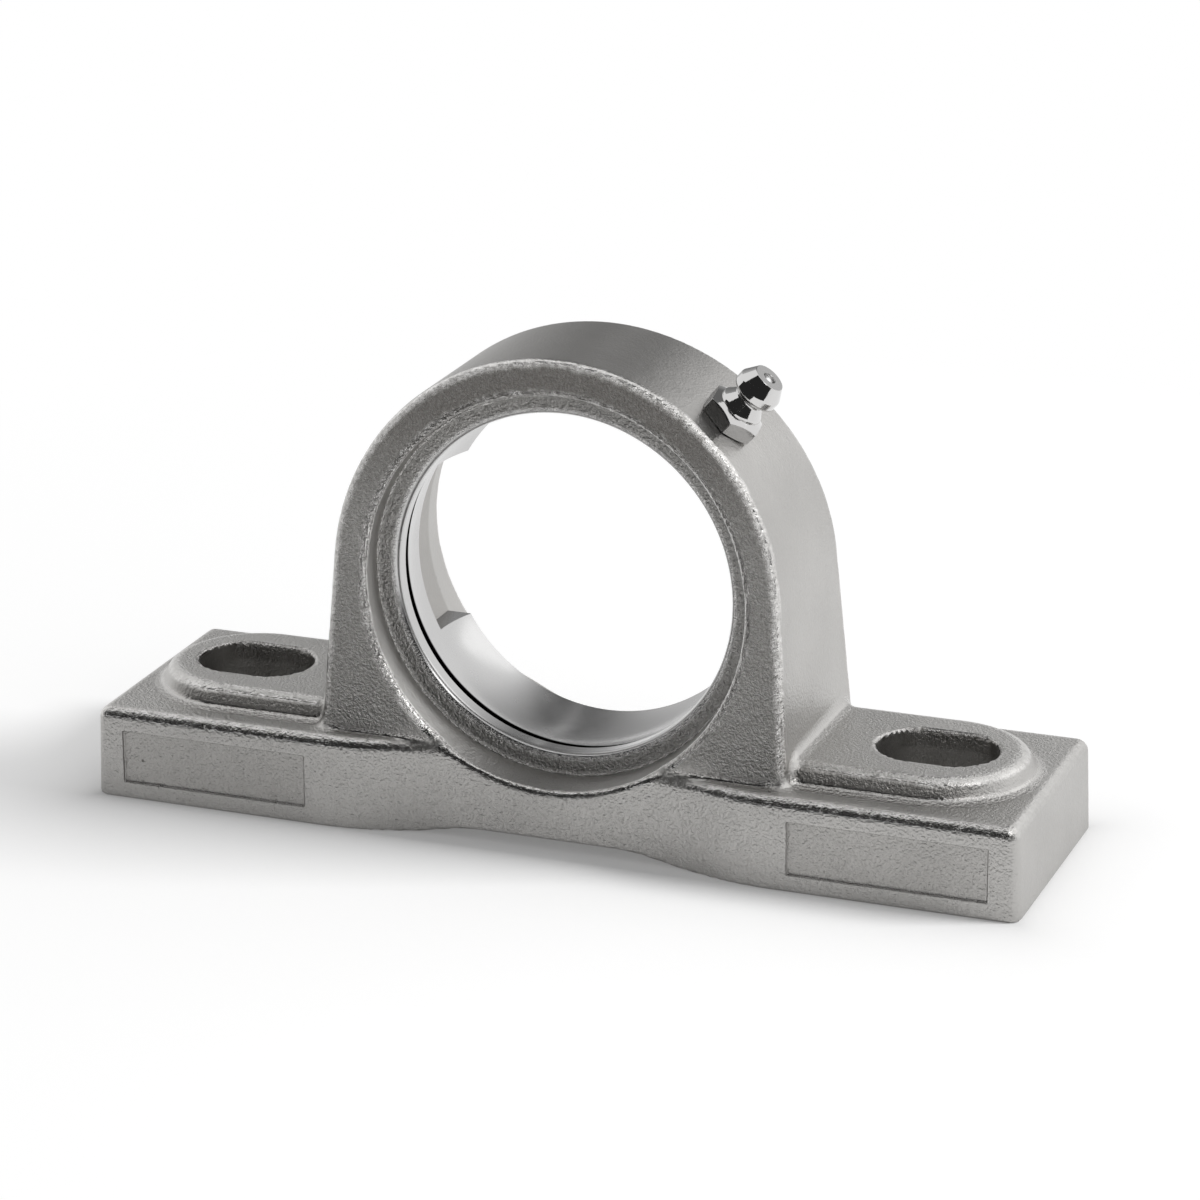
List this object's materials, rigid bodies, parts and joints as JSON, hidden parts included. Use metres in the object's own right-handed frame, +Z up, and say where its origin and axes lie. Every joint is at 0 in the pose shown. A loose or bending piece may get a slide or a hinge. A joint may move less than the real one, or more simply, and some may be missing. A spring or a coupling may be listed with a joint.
{
  "type": "pillow block bearing housing",
  "caption": "Cast stainless steel pillow block housing with an open ball-shaped seat for an insert bearing, slotted feet and a grease nipple.",
  "frame": {"origin": "centre of the base's underside, straight below the shaft's centre", "axes": "+X along the base towards the foot on the nipple's side, -Y out of the front face with the shaft along Y, +Z up"},
  "size_m": [0.14, 0.038, 0.071],
  "materials": {
    "cast_stainless": "satin, finely grained blasted casting, with a machined seat",
    "bright_plated_steel": "polished",
    "polished_ball": "polished",
    "spring_wire": "drawn wire"
  },
  "bodies": {
    "block": {"housing": "cast_stainless", "nipple_body": "bright_plated_steel", "check_spring": "spring_wire"},
    "ball": {"check_ball": "polished_ball"}
  },
  "joints": [
    {"name": "ball_lift", "type": "slide", "parent": "block", "child": "ball", "axis": [-0.6691, 0, -0.7431], "range_m": [0, 0.0008], "stiffness_N_per_m": 400, "springref_m": -0.0015, "deforming": ["check_spring"]}
  ]
}
